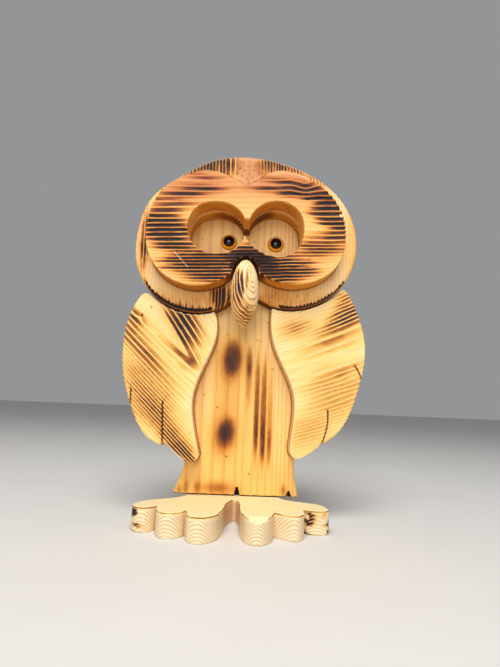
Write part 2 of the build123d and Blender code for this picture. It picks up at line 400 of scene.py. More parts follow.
def cap_edge(outline, radius):
    """Rows of points on the rounded edge of the front face."""
    rows = []
    for angle in ROUND_STEPS:
        inset = radius * (1 - math.cos(math.radians(angle)))
        rows.append((outline.point + outline.normal * inset)[~outline.kerf])
    rows.append((outline.point + outline.normal * KERF_ROUND)[outline.kerf])
    points = np.concatenate(rows)
    points = points[inside(points, outline.loops)]
    near, _ = outline.distance(points, outline.every)
    points = points[near > 0.02]
    cells = np.round(points / 0.07).astype(int)
    _, first = np.unique(cells, axis=0, return_index=True)
    return points[np.sort(first)]


@dataclass
class Shell:
    """A board's surface before relief: (u, v, w) points, where relief pushes each, and its faces."""

    points: list = field(default_factory=list)
    push: list = field(default_factory=list)  # outward direction in (u, v, w)
    faces: list = field(default_factory=list)
    size: int = 0

    def add(self, uv, w, push_uv, push_w):
        """Adds a group of points and returns the first one's number."""
        first = self.size
        count = len(uv)
        self.points.append(np.column_stack([uv, np.broadcast_to(w, count)]))
        self.push.append(np.column_stack([push_uv, np.broadcast_to(push_w, count)]))
        self.size += count
        return first

    def wall(self, upper, lower, following):
        for i, j in enumerate(following):
            self.faces.append((int(upper[i]), int(lower[i]), int(lower[j]), int(upper[j])))


def board_shell(board, outline, thickness, holes):
    """A board's front with its rounded edge, its sides, and its back with the screw holes in it."""
    shell = Shell()
    r = board.edge_round
    loose = thinned(grid_points(outline, board.grain_turn, board.step, r + 0.25), board.front_covers)
    starts = np.cumsum([0] + [len(l) for l in outline.loops])
    loops = [np.arange(a, b) for a, b in zip(starts, starts[1:])]
    verts, faces, place = triangulate(outline.point, loops, np.concatenate([cap_edge(outline, r), loose]))
    regular, normal = outline.distance(verts, outline.plain)
    cut, cut_normal = outline.distance(verts, outline.cuts)
    at_regular, at_cut = rounded_depth(regular, r), rounded_depth(cut, KERF_ROUND)
    w = np.maximum(at_regular, at_cut)
    outward = np.clip(1 - regular / r, 0, 1)
    push = -normal * outward[:, None]
    beside_cut = cut < KERF_ROUND * 0.99
    push[beside_cut] = (-cut_normal * np.clip(1 - cut / KERF_ROUND, 0, 1)[:, None])[beside_cut]
    up = -np.sqrt(np.clip(1 - np.sum(push**2, 1), 0, 1))
    first = shell.add(verts, w, push, up)
    shell.faces += [tuple(int(i) + first for i in f) for f in faces]

    upper = place[: len(outline.point)] + first
    rim = w[place[: len(outline.point)]]
    deepest = thickness - BACK_ROUND
    rows = max(4, int(thickness / board.wall_step))
    for share in np.arange(1, rows + 1) / rows:
        level = rim + (deepest - rim) * share
        lower = shell.add(outline.point, level, -outline.normal, 0) + outline.every
        shell.wall(upper, lower, outline.following)
        upper = lower
    half_way = math.sqrt(0.5)
    uv = outline.point + outline.normal * BACK_ROUND * (1 - half_way)
    level = deepest + BACK_ROUND * half_way
    lower = shell.add(uv, level, -outline.normal * half_way, half_way) + np.arange(len(uv))
    shell.wall(upper, lower, outline.following)
    upper = lower

    uv = outline.point + outline.normal * BACK_ROUND
    fixed, hole_loops = [uv], []
    count = len(uv)
    for hole in holes:
        fixed.append(hole)
        hole_loops.append(np.arange(count, count + len(hole)))
        count += len(hole)
    back = grid_points(outline, board.grain_turn, board.back_step, BACK_ROUND + 0.8)
    for hole in holes:
        middle = hole.mean(0)
        reach = np.linalg.norm(hole - middle, axis=1).max()
        back = back[np.linalg.norm(back - middle, axis=1) > reach + 0.4]
    back = thinned(back, board.back_covers)
    fixed = np.concatenate(fixed)
    verts, faces, place = triangulate(fixed, loops + hole_loops, back)
    fade = np.ones(len(verts))
    for loop in hole_loops:
        fade[place[loop]] = 0
    first = shell.add(verts, thickness, np.zeros((len(verts), 2)), fade)
    shell.faces += [tuple(int(i) + first for i in f[::-1]) for f in faces]
    lower = place[: len(uv)] + first
    shell.wall(upper, lower, outline.following)
    for loop in hole_loops:
        ring = fixed[loop]
        floor = shell.add(ring, thickness - SCREW_HOLE_DEPTH, 0 * ring, 0) + np.arange(len(ring))
        shell.wall(floor, place[loop] + first, np.roll(np.arange(len(ring)), -1))
        middle = shell.add(ring.mean(0)[None], thickness - SCREW_HOLE_DEPTH, np.zeros((1, 2)), 0)
        shell.faces += [(middle, int(a), int(b)) for a, b in zip(floor, np.roll(floor, -1))]
    return shell


def read_outline(node, lying=False, crisp_holes=False):
    """A board's outline, and the screw holes that its back face has."""
    low, high = box_mm(node)
    axis = 2 if lying else 1
    front, back = (high[2], low[2]) if lying else (low[1], high[1])
    back_loops = flat_loops(node, axis, back)
    loops = with_wood_on_left([l for l in back_loops if abs(area(l)) > BOARD_AREA])
    outline = Outline([resample(l, OUTLINE_STEP) for l in loops], crisp_holes)
    holes = []
    for loop in [l for l in back_loops if SCREW_HOLE_AREA[0] < abs(area(l)) < SCREW_HOLE_AREA[1]]:
        middle = loop.mean(0)
        radius = math.sqrt(abs(area(loop)) / math.pi) + SCREW_HOLE_GAP
        turn = -np.arange(SCREW_HOLE_SIDES) * 2 * math.pi / SCREW_HOLE_SIDES
        holes.append(middle + radius * np.column_stack([np.cos(turn), np.sin(turn)]))
    return outline, holes, front, abs(front - back)


def ring_faces(rows, columns, closed=False):
    """Faces between rows of points round a ring; closed also joins the last row to the first."""
    faces = []
    for row in range(rows if closed else rows - 1):
        a, b = row * columns, (row + 1) % rows * columns
        for c in range(columns):
            d = (c + 1) % columns
            faces.append((a + c, b + c, b + d, a + d))
    return faces


def new_mesh(name, points, faces, fields, sharp=50):
    """A smooth-shaded Blender object from millimetre points, with its fields as point attributes."""
    mesh = bpy.data.meshes.new(name)
    mesh.from_pydata((np.asarray(points) * MM).tolist(), [], faces)
    for key, values in fields.items():
        values = np.asarray(values, np.float32)
        kind, slot = ("FLOAT_VECTOR", "vector") if values.ndim == 2 else ("FLOAT", "value")
        attribute = mesh.attributes.new(key, kind, "POINT")
        attribute.data.foreach_set(slot, values.ravel())
    mesh.shade_smooth()
    mesh.set_sharp_from_angle(angle=math.radians(sharp))
    mesh.validate()
    obj = bpy.data.objects.new(name, mesh)
    bpy.context.scene.collection.objects.link(obj)
    return obj


CHARRED = 1.5  # scorching past 1 blackens hard ridges too


def make_board(board, outline, holes, front, thickness):
    """The board's mesh, brushed and burnt hollow between the ridges, with its fields on every point."""
    shell = board_shell(board, outline, thickness, holes)
    base, push = np.concatenate(shell.points), np.concatenate(shell.push)
    u, v, w = base.T
    ring = board.ring(u, v, w)
    burn = np.clip(board.burn(u, v, w, ring), 0, CHARRED)
    behind = np.clip(push[:, 2], 0, 1)
    toast_and_shade = np.clip(board.toast_and_shade(u, v, w) * (1 - 0.7 * behind), 0, 1)
    # the sawn sides, which the material darkens partly with painted shade; lit sides are spared
    sawn = smoothstep(1.5, 4.5, w) * (1 - np.abs(push[:, 2])) * (1 - board.pale_sides(u, v, w))
    c, s = cos_sin(board.grain_turn)
    grain = np.column_stack([u * c + v * s, v * c - u * s, w])
    brushed = 0.3 + 0.7 * smoothstep(5, 2, w)
    depth = (board.groove + board.burnt_groove * np.minimum(burn, 1)) * (1 - ridge(ring)) * brushed
    depth += (0.05 + 0.12 * burn) * (1 + noise(grain, (5, 0.8, 0.8), 3)) * brushed
    moved = base - push * depth[:, None]
    cut = board.pocket(u, v)
    moved[:, 2] = np.maximum(moved[:, 2], cut)
    if board.burnt_pocket:
        burn = np.maximum(burn, (cut > 0.5) & (w < cut + 0.8))
    if board.lying:
        points = np.column_stack([moved[:, 0], moved[:, 1], front - moved[:, 2]])
    else:
        points = np.column_stack([moved[:, 0], front + moved[:, 2], moved[:, 1]])
    fields = {
        "ring": ring, "burn": burn, "toast_and_shade": toast_and_shade, "rosy_and_shade": np.clip(board.rosy_and_shade(u, v, w), 0, 1),
        "bare_and_highlight": np.clip(board.bare_and_highlight(u, v, w), 0, 1), "wall": sawn, "grain": grain,
    }
    return new_mesh("wood_" + board.node, points, shell.faces, fields)


# ------------------------------------------------------------------------ node trees


class Shader:
    """A material's nodes, made by short calls."""

    def __init__(self, name):
        self.material = bpy.data.materials.new(name)
        self.material.use_nodes = True
        self.tree = self.material.node_tree
        self.tree.nodes.clear()

    def node(self, kind, inputs=None, **settings):
        """Adds a node; inputs name or number its sockets, each given a value or another socket."""
        node = self.tree.nodes.new(kind)
        for key, value in settings.items():
            setattr(node, key, value)
        for key, value in (inputs or {}).items():
            socket = node.inputs[key]
            if isinstance(value, bpy.types.NodeSocket):
                self.tree.links.new(value, socket)
            else:
                socket.default_value = value
        return node

    def field(self, name, output="Fac"):
        """A number, or with "Vector" three, stored on every point of the mesh."""
        return self.node("ShaderNodeAttribute", attribute_name=name).outputs[output]

    def place(self):
        """Coordinates in the object, in metres."""
        return self.node("ShaderNodeTexCoord").outputs["Object"]

    def math(self, operation, a, b=0.0, clamp=False):
        return self.node("ShaderNodeMath", {0: a, 1: b}, operation=operation, use_clamp=clamp).outputs[0]

    def plus(self, a, b, clamp=False):
        return self.math("ADD", a, b, clamp)

    def times(self, a, b):
        return self.math("MULTIPLY", a, b)

    def scaled(self, vector, scale):
        return self.node("ShaderNodeVectorMath", {0: vector, 1: scale}, operation="MULTIPLY").outputs[0]

    def noise(self, vector, detail=4.0, rough=0.55, distortion=0.0):
        inputs = {"Vector": vector, "Scale": 1.0, "Detail": detail, "Roughness": rough}
        return self.node("ShaderNodeTexNoise", {**inputs, "Distortion": distortion}).outputs["Fac"]

    def ramp(self, value, stops):
        node = self.node("ShaderNodeValToRGB", {"Fac": value})
        points = node.color_ramp.elements
        while len(points) < len(stops):
            points.new(0.5)
        for point, (at, colour) in zip(points, stops):
            point.position = at
            point.color = colour if isinstance(colour, tuple) else (colour, colour, colour, 1)
        return node.outputs["Color"]

    def mix(self, factor, a, b, blend="MIX"):
        node = self.node("ShaderNodeMix", data_type="RGBA", blend_type=blend)
        for socket, value in zip((node.inputs[0], node.inputs[6], node.inputs[7]), (factor, a, b)):
            if isinstance(value, bpy.types.NodeSocket):
                self.tree.links.new(value, socket)
            else:
                socket.default_value = value
        return node.outputs[2]

    def bump(self, height, distance, strength=1.0):
        inputs = {"Height": height, "Distance": distance, "Strength": strength}
        return self.node("ShaderNodeBump", inputs).outputs["Normal"]

    def finish(self, inputs):
        surface = self.node("ShaderNodeBsdfPrincipled", inputs)
        self.node("ShaderNodeOutputMaterial", {"Surface": surface.outputs["BSDF"]})
        return self.material


def linear(red, green, blue):
    """An sRGB colour from 0 to 255 as linear light."""
    channels = [c / 255 for c in (red, green, blue)]
    return tuple(c / 12.92 if c < 0.04045 else ((c + 0.055) / 1.055) ** 2.4 for c in channels) + (1.0,)


def over(colour, base):
    """The tint that turns the base colour into the other one."""
    return tuple(min(a / b, 1.0) for a, b in zip(colour[:3], base[:3])) + (1.0,)


SCORCH = (  # colours from clean wood to char, by how scorched it is
    (0.0, (255, 226, 160)), (0.18, (250, 203, 114)), (0.36, (222, 160, 70)),
    (0.56, (162, 94, 32)), (0.76, (88, 50, 28)), (1.0, (32, 32, 38)),
)
CLOUD_TINT = over(linear(244, 206, 136), linear(255, 226, 160))
ROSY_AND_SHADE_TINT = (0.68, 0.51, 0.59, 1)
FRESH_WOOD_AND_HIGHLIGHT = linear(255, 238, 206)
RIDGE_KEEP = 0.80  # how much of the scorching a hard ridge escapes


def wood_material(name, pale, late, late_line, sides_blue=1.0):
    """Pine with scorching in its soft wood, fibres, pores and a satin finish.

    The late colour lines each growth ring, as strongly as late_line says. The sawn sides are darker than
    the face, partly as end grain and partly as painted shade, and sides_blue tints them from amber to grey.
    """
    m = Shader(name)
    ring, burn = m.field("ring"), m.field("burn")
    toast_and_shade, rosy_and_shade = m.field("toast_and_shade"), m.field("rosy_and_shade")
    grain = m.field("grain", "Vector")
    fibre = m.noise(m.scaled(grain, (0.07, 1.5, 1.5)), 6)
    fine = m.noise(m.scaled(grain, (0.22, 6.0, 6.0)), 5)
    cloud = m.noise(m.scaled(grain, (0.035, 0.07, 0.07)), 3)
    speck = m.noise(m.scaled(grain, (1.6, 2.4, 2.4)), 2)

    jagged = m.noise(m.scaled(grain, (0.8, 2.2, 2.2)), 4)
    wander = m.times(m.math("SUBTRACT", m.plus(fibre, jagged), 1.0), 0.16)
    phase = m.math("FRACT", m.plus(ring, wander))
    hard = m.ramp(phase, RING_STOPS)
    line = m.ramp(phase, [(0.0, 0.25), (0.10, 0.0), (0.55, 0.0), (0.86, 0.8), (0.93, 1.0), (1.0, 0.35)])

    wall = m.field("wall")
    strength = m.plus(m.times(wall, 0.6), late_line, clamp=True)
    clean = m.mix(m.times(line, strength), pale, late)
    streak = m.ramp(fibre, [(0.32, (0.90, 0.83, 0.70, 1)), (0.5, (1, 1, 1, 1)), (0.7, (1, 0.985, 0.95, 1))])
    clean = m.mix(0.9, clean, streak, "MULTIPLY")
    clean = m.mix(m.times(cloud, 0.35), clean, CLOUD_TINT, "MULTIPLY")

    protected = m.times(hard, RIDGE_KEEP)
    deep = m.ramp(m.times(burn, 1 / CHARRED), [(0.0, 1.0), (1 / CHARRED, 1.0), (1.0, 0.35)])
    open_wood = m.math("SUBTRACT", 1.0, m.times(protected, deep))
    rough_burn = m.plus(m.times(m.math("SUBTRACT", fibre, 0.5), 0.5), 1.0)
    scorch = m.times(m.times(m.math("MINIMUM", burn, 1.0), open_wood), rough_burn)
    dusty = m.plus(m.times(m.math("SUBTRACT", speck, 0.5), 0.7), 1.0)
    # browning, together with painted shade, darkens through the scorch colours
    scorch = m.plus(scorch, m.times(toast_and_shade, dusty), clamp=True)
    stops = [(at, over(linear(*rgb), linear(*SCORCH[0][1]))) for at, rgb in SCORCH]
    colour = m.mix(1.0, clean, m.ramp(scorch, stops), "MULTIPLY")
    # pinkish heat tint, and the base valley's painted shade
    colour = m.mix(rosy_and_shade, colour, ROSY_AND_SHADE_TINT, "MULTIPLY")
    # painted shade, in part: sawn sides darkened and tinted towards their shaded colour
    colour = m.mix(wall, colour, (0.92, 0.90, sides_blue, 1), "MULTIPLY")
    pore = m.ramp(fine, [(0.30, (0.72, 0.62, 0.5, 1)), (0.42, (1, 1, 1, 1))])
    colour = m.mix(0.7, colour, pore, "MULTIPLY")
    # fresh wood in scratches and chips, and painted highlights on lit edges
    colour = m.mix(m.field("bare_and_highlight"), colour, FRESH_WOOD_AND_HIGHLIGHT)

    roughness = m.plus(m.plus(m.times(fine, 0.22), m.times(scorch, 0.22)), 0.30)
    height = m.plus(m.times(fine, 0.6), m.times(fibre, 0.4))
    normal = m.bump(height, 0.00035, 0.55)
    return m.finish({
        "Base Color": colour, "Roughness": roughness, "Normal": normal,
        "Specular IOR Level": 0.22, "Coat Weight": 0.04, "Coat Roughness": 0.35,
    })


def metal_material(name, colour, roughness):
    """Plated steel, with fine scratches and dulled spots."""
    m = Shader(name)
    place = m.place()
    cloud = m.noise(m.scaled(place, (700.0, 700.0, 700.0)), 4)
    scratch = m.noise(m.scaled(place, (300.0, 4000.0, 4000.0)), 3)
    dull = tuple(c * 0.6 for c in colour[:3]) + (1.0,)
    tint = m.mix(m.ramp(cloud, [(0.45, 0.0), (0.7, 1.0)]), colour, dull)
    rough = m.plus(m.times(cloud, 0.25), roughness)
    normal = m.bump(m.plus(cloud, scratch), 0.00006, 0.6)
    return m.finish({"Base Color": tint, "Metallic": 1.0, "Roughness": rough, "Normal": normal})


def plain_wood_material(name):
    """Turned beech for the dowels, with rays and pores along its length."""
    m = Shader(name)
    place = m.place()
    fibre = m.noise(m.scaled(place, (1800.0, 120.0, 1800.0)), 5)
    fleck = m.noise(m.scaled(place, (900.0, 260.0, 2600.0)), 3)
    colour = m.mix(fibre, linear(214, 170, 120), linear(190, 140, 92))
    colour = m.mix(m.ramp(fleck, [(0.62, 0.0), (0.72, 0.6)]), colour, linear(140, 92, 56))
    rough = m.plus(m.times(fibre, 0.2), 0.5)
    normal = m.bump(fibre, 0.0001, 0.5)
    return m.finish({"Base Color": colour, "Roughness": rough, "Normal": normal})


# ------------------------------------------------------------------ each board's wood


def shifted_burn(spots, turn, reach, seed):
    """Blotches that slide along the grain by a different amount in each growth ring."""
    c, s = cos_sin(turn)

    def burn(u, v, ring):
        whole = np.floor(ring)
        shift = noise_at(whole, 0, 0, (1.0, 1, 1), seed) * reach
        return blotches(spots, u + c * shift, v + s * shift)

    return burn


def ragged(value, u, v, seed, amount=0.25, scale=(9, 5)):
    """Patchy edges: a soft mask becomes darker and lighter in cloudy patches."""
    cloud = noise_at(u, v, 0, (*scale, 1), seed)
    fine = noise_at(u, v, 0, (scale[0] / 3, scale[1] / 3, 1), seed + 1)
    return np.clip(value * (1 + amount * cloud + amount * fine), 0, 1)


def gap_to(node, u, v, where, saw_cuts=True):
    """Distance to a board's outline, measured only where asked and large everywhere else."""
    outline = outlines[node][0]
    edge = outline.every if saw_cuts else outline.plain
    gap = np.full(len(u), FAR)
    gap[where] = outline.distance(np.column_stack([u, v])[where], edge)[0]
    return gap


def on_walls(w, fade=2.6):
    """1 on a board's face and falling away down its sawn sides."""
    return np.exp(-np.clip(w - 1.0, 0, None) / fade)


# Face board: grain across the owl. Ring counts by height, with the lines rising to the right.
FACE_RING_Z = (196.4, 222.6, 229.0, 254.3, 293.0, 310.0)
FACE_RING = (0.27, 9.27, 11.27, 17.27, 25.27, 28.8)
FACE_RISE_X = (-90, -20, 20, 32, 46, 90)
FACE_RISE = (-5.1, -1.2, 1.5, 2.9, 3.5, 5.8)
FACE_BURNS = patches(
    (-72, 239, 22, 14, 1.0, 0, 4), (-64, 224, 15, 5, 0.95), (-74, 255, 16, 8, 0.6),
    (-49, 276.5, 18, 3.4, 0.78), (-44, 287, 14, 3.4, 0.48), (-56, 270, 19, 3, 0.7),
    (-66, 263, 15, 4, 0.42), (8, 279, 17, 2.6, 0.6), (22, 287, 20, 2.6, 0.65),
    (38, 281.5, 17, 3.6, 0.95), (40, 275.5, 15, 2.6, 0.85), (68, 268, 18, 13, 1.0, 0, 4),
    (76, 251, 14, 8, 0.95, 0, 3), (74, 239, 16, 5, 0.75), (-38, 210, 31, 12, 1.0, 0, 4),
    (-30, 199, 18, 5, 0.85), (-2, 218, 26, 9, 1.0, 0, 4), (-1, 228, 9, 5, 0.55),
    (24, 209, 29, 13, 1.0, 0, 4), (56, 228, 20, 8, 0.75), (5, 212, 18, 9, 1.0),
)
FACE_CORE = patches((-1, 217, 17, 7, 0.8, 0, 3), (15, 212, 12, 8, 0.7, -40), (-76, 234, 10, 8, 0.3))
FACE_DIP = -4.8  # where the face's two lobes meet in a point
FACE_LOW_RING = 2.9  # millimetres from ring to ring under the lowest measured one
ARCH_HALF_WIDTH, ARCH_RISE = 14.5, 20  # of the arch over the beak
FACE_SCRATCH = ((-63.0, 219.0), (-51.0, 206.5))
# the first patch is a painted highlight along the top-right lobe's edge; the others are chips and rubs
FACE_CHIPS_AND_HIGHLIGHT = patches(
    (43, 294.5, 7, 2.2, 0.9, -28, 3), (77, 258, 0.9, 1.3, 1.0, 20, 4), (8.1, 207.8, 0.6, 0.9, 0.6, 0, 4),
    (8.7, 204.6, 0.7, 0.7, 0.7, 0, 4),
)
face_scorch = shifted_burn(FACE_BURNS, 0, 7.0, 11)


def face_ring(u, v, w):
    dip = 3.0 * np.exp(-(((u - 46) / 8) ** 2)) * smoothstep(270, 282, v)
    level = v - np.interp(u, FACE_RISE_X, FACE_RISE) + dip + 0.30 * w
    wave = noise_at(u, v, w, (34, 9, 20), 21) * 0.12
    below = FACE_RING[0] + (level - FACE_RING_Z[0]) / FACE_LOW_RING
    return np.where(level < FACE_RING_Z[0], below, np.interp(level, FACE_RING_Z, FACE_RING)) + wave


def arch_distance(u, v):
    """About 1 on the edge of the arch over the beak, more outside it."""
    return np.hypot((u - CENTRE_X) / ARCH_HALF_WIDTH, np.clip(v - 200, -8, None) / ARCH_RISE)


def face_burn(u, v, w, ring):
    core = blotches(FACE_CORE, u, v)
    lines = ragged(face_scorch(u, v, ring), u, v, 31, 0.12, (14, 6))
    rim = smoothstep(1.12, 1.0, arch_distance(u, v)) * smoothstep(203, 208, v)
    return np.maximum(1.12 * lines + 0.5 * core, CHARRED * rim) * on_walls(w)


def face_socket_sides(u, v, w):
    """The outer side of each eye socket, which catches the light."""
    out = np.abs(u - CENTRE_X)
    beside = smoothstep(34, 42, out) * smoothstep(54, 50, out)
    return 0.75 * beside * smoothstep(225, 232, v) * smoothstep(266, 254, v)


def face_toast_and_shade(u, v, w):
    walls = smoothstep(1.2, 5, w)
    near_arch = smoothstep(1.35, 0.9, arch_distance(u, v))
    # painted shade: a dark line along the back of the face's sides, where they meet the head board
    joint_shade = 0.35 * smoothstep(18.6, 19.8, w)
    # painted shade on the sides under the chin
    chin = 0.16 * smoothstep(-20, -36, u) * smoothstep(214, 204, v)
    brow = 0.05 * smoothstep(245, 262, v) * smoothstep(286, 272, v)
    from_dip = np.abs(u - FACE_DIP)
    gap = gap_to("face_board", u, v, (w < 1.2) & (v > 272) & (from_dip < 24))
    rim = 0.5 * smoothstep(1.1, 0.4, gap) * smoothstep(24, 14, from_dip)
    # the sawn sides are browned partly as end grain and partly as painted shade
    sides = (0.22 + chin + 0.34 * near_arch) * (1 - face_socket_sides(u, v, w))
    return rim + brow + joint_shade + 0.10 + 0.02 * smoothstep(262, 284, v) + walls * sides


def near_line(u, v, ends, half_width):
    """1 on a straight line between two points, falling off beyond its half width."""
    (x0, z0), (x1, z1) = ends
    dx, dz = x1 - x0, z1 - z0
    t = np.clip(((u - x0) * dx + (v - z0) * dz) / (dx**2 + dz**2), 0, 1)
    return smoothstep(half_width * 1.6, half_width * 0.5, np.hypot(u - x0 - t * dx, v - z0 - t * dz))


def face_bare_and_highlight(u, v, w):
    worn = 0.5 + 0.3 * noise_at(u, v, 0, (1.5, 1.5, 1), 71)
    scratch = near_line(u, v, FACE_SCRATCH, 0.30) * worn
    return np.maximum(scratch, blotches(FACE_CHIPS_AND_HIGHLIGHT, u, v)) * (w < 3)


def face_rosy(u, v, w):
    flushed = patches((-49, 276, 24, 6, 0.3), (-42, 288, 18, 5, 0.25), (24, 286, 24, 6, 0.35))
    flamed = 0.30 * blotches(FACE_BURNS, u, v)
    return (blotches(flushed, u, v) + flamed + 0.12 + 0.68 * smoothstep(254, 280, v)) * on_walls(w)


# Head board: grain upright.
HEAD_RING_X = (-110, -65, -23, -13, 8, 40, 100)
HEAD_RING = (0, 15.5, 30.0, 32.0, 33.6, 45.5, 64.5)
HEAD_BURNS = patches(
    (-44, 311, 26, 13, 1.0, 0, 3), (-24, 314, 9, 14, 0.5), (20, 314, 14, 13, 0.95, 0, 3),
    (36, 309, 12, 8, 0.6), (-92, 236, 5, 26, 0.75, 0, 3), (-22, 186, 9, 11, 1.0, 0, 3),
    (60, 302, 14, 10, 0.45), (-72, 292, 16, 14, 0.6), (-50, 185, 26, 8, 0.18), (22, 190, 12, 12, 0.13),
    (50, 188, 26, 8, 0.16),
)
SOCKET_RING = 2.3  # millimetres from ring to ring round the eye sockets
SOCKET_BURNS = patches(
    (-13, 259, 8, 6, 0.62, -50), (8, 262, 11, 6, 0.75, 45), (-24, 266, 8, 4, 0.4), (14, 268, 6, 4, 0.45),
)
head_scorch = shifted_burn(HEAD_BURNS, 90, 4.0, 12)


def head_ring(u, v, w):
    drift = noise_at(u, v, w, (7, 60, 18), 23) * 0.22
    across = u + 0.02 * (v - 250) + 0.28 * w
    coarse = np.interp(across, HEAD_RING_X, HEAD_RING)
    sockets = (v > 225) & (v < 276) & (np.abs(across) < 30)
    return np.where(sockets, 28 + (across + 30) / SOCKET_RING, coarse) + drift


def head_lower_edge(u, v, ring):
    """Black char hugging the head's lower edge, and the brown smudges that reach up from it."""
    outline = outlines["head_board"][0]
    char, smudge = np.zeros(len(u)), np.zeros(len(u))
    some = np.flatnonzero((v < 206) & (((u > -92) & (u < -30)) | ((u > 28) & (u < 90))))
    distance, normal = outline.distance(np.column_stack([u, v])[some], outline.every)
    tooth = 0.5 + 0.5 * noise_at(u[some], 0, 0, (2.1, 1, 1), 41)
    clump = 0.5 + 0.5 * noise_at(u[some], 0, 0, (7.0, 1, 1), 43)
    soft = 1 - ridge(ring[some])
    fade = smoothstep(-93, -84, u[some]) * smoothstep(91, 82, u[some]) * (normal[:, 1] > 0.25)
    black = 1.0 + 0.9 * tooth * (0.5 + 0.5 * soft) + 0.9 * clump * (u[some] < 0)
    brown = np.where(u[some] < 0, 2.5 + 13.0 * tooth * clump * (0.35 + 0.65 * soft), 1.5)
    char[some] = CHARRED * smoothstep(black + 0.9, 0.6 * black + 0.9, distance) * fade
    smudge[some] = 0.5 * smoothstep(brown, 0.25 * brown, distance) * fade
    return char, smudge


def head_burn(u, v, w, ring):
    scorch = ragged(head_scorch(u, v, ring), u, v, 33, scale=(5, 10))
    inside_sockets = blotches(SOCKET_BURNS, u, v) * smoothstep(1, 3, w) * smoothstep(20, 12, w)
    char, _ = head_lower_edge(u, v, ring)
    edge = char * np.maximum(smoothstep(2.8, 1.3, w), 0.5 * smoothstep(17.8, 19.2, w))
    return np.maximum(np.maximum(scorch * on_walls(w, 5.0), edge), inside_sockets)


HEAD_DOTS = [
    (-8.5, 313.5), (-4.2, 310.0), (-6.8, 305.6), (-2.6, 302.2), (-9.4, 300.4), (-5.0, 297.6), (1.4, 306.4),
    (-11.2, 307.8), (0.2, 299.0), (-3.4, 293.4), (2.6, 312.0), (-7.6, 291.8), (44.0, 190.5), (-14.0, 302.0),
]


def dots(places, u, v, radius=0.55):
    """Small dark specks, as soft-edged spots."""
    result = np.zeros(len(u))
    for x, z in places:
        result = np.maximum(result, smoothstep(radius * 1.7, radius * 0.6, np.hypot(u - x, v - z)))
    return result


def head_toast_and_shade(u, v, w):
    # painted shade: dark lines on the head where the face board meets it below the chin, and between the
    # layers round the sockets
    joint_shade = 0.36 * smoothstep(1.2, 0.3, gap_to("face_board", u, v, (w < 0.6) & (v < 235)))
    in_socket = (np.abs(u - CENTRE_X) < 54) & (v > 222) & (v < 282)
    joint_shade += 0.35 * in_socket * (smoothstep(1.6, 0.6, w) + smoothstep(18.9, 19.7, w)) * smoothstep(0.2, 1.0, w)
    brown = blotches(patches((22, 190, 16, 12, 0.14), (94, 240, 9, 42, 0.14, 0, 4)), u, v)
    throat = blotches(patches((-2, 180, 26, 12, 0.16), (-2.7, 247, 7, 7, 0.4)), u, v) * smoothstep(1, 5, w)
    _, smudge = head_lower_edge(u, v, head_ring(u, v, w))
    crown = blotches(patches((-2.5, 304, 12, 20, 1.0, 0, 4)), u, v)
    chin = smoothstep(200, 180, v) * 0.10
    # painted shade on the sides under the head's lower edge
    underside = 0.14 * smoothstep(205, 195, v) * smoothstep(2, 5, w)
    specks = 0.4 * dots(HEAD_DOTS, u, v) * (w < 4)
    marks = joint_shade + brown + throat + underside + smudge * on_walls(w) + specks
    # the sawn sides are darkened partly as end grain and partly as painted shade
    return marks + 0.08 + 0.06 * crown + chin + 0.24 * smoothstep(3, 9, w)


def head_rosy(u, v, w):
    return blotches(patches((-2.5, 306, 12, 22, 1.0, 0, 4), (0, 312, 60, 16, 0.25)), u, v) * on_walls(w, 6)


# Left wing: a light tongue of grain points down towards the breast, and the lines fan round it.
TONGUE = (-48.0, 133.6)  # its tip
TONGUE_TURN = 131.0  # degrees from +u to its axis
LEFT_RING_P = (-0.4, 0.0, 7, 28, 33, 60, 95)
LEFT_RING = (0.78, 0.92, 1.88, 6.6, 8.2, 19.5, 32.0)
LEFT_RING_BEYOND_P = (-0.4, 0.0, 4.2, 9.6, 14.6, 19.6, 60)
LEFT_RING_BEYOND = (0.78, 0.92, 1.90, 2.90, 3.90, 4.9, 14.0)
LEFT_BURNS = patches(
    (-56, 160, 21, 8, 0.74, -56, 3), (-46, 163, 20, 6, 0.45, -55), (-57, 152, 21, 3.6, 0.7, -55),
    (-56, 137, 9, 3.4, 0.42, -40), (-46, 129, 8, 7, 0.62), (-97, 167, 11, 6, 0.75, -40),
    (-99, 152, 14, 10, 0.5, -40), (-88, 138, 20, 5.5, 0.34, -42), (-80, 108, 34, 13, 0.38, -44, 3),
    (-88, 92, 24, 14, 0.28, -44, 3), (-70, 84, 26, 8, 0.40, -44), (-55, 61, 20, 7, 0.76, -46),
    (-46, 52, 10, 6, 0.6, -46), (-78, 128, 30, 8, 0.34, -42), (-64, 140, 22, 5, 0.2, -42),
)


def tongue_frame(u, v):
    c, s = cos_sin(TONGUE_TURN)
    du, dv = u - TONGUE[0], v - TONGUE[1]
    return du * c + dv * s, du * s - dv * c


def left_ring(u, v, w):
    a, b = tongue_frame(u, v)
    wave = noise_at(a, b, w, (50, 6, 20), 25) * 0.16
    spread = (0.09 + 0.07 * np.exp(-((b / 14) ** 2))) * a
    p = np.sqrt(b**2 + 2.5) - 1.58 - spread + 0.25 * w
    knot = 2.4 * np.exp(-(((u + 90) / 4) ** 2) - ((v - 167) / 4) ** 2)
    beyond = np.interp(p, LEFT_RING_BEYOND_P, LEFT_RING_BEYOND)
    ring = np.where(b > 0, beyond, np.interp(p + knot, LEFT_RING_P, LEFT_RING))
    return ring + wave * np.where(p < 0, 0.4, 1.0)


left_scorch = shifted_burn(LEFT_BURNS, -45, 4.0, 13)


def left_burn(u, v, w, ring):
    smoky = blotches(patches((-51, 164, 14, 7, 0.35, -56)), u, v)
    return (ragged(left_scorch(u, v, ring), u, v, 35, 0.12) + smoky) * on_walls(w, 5.0)


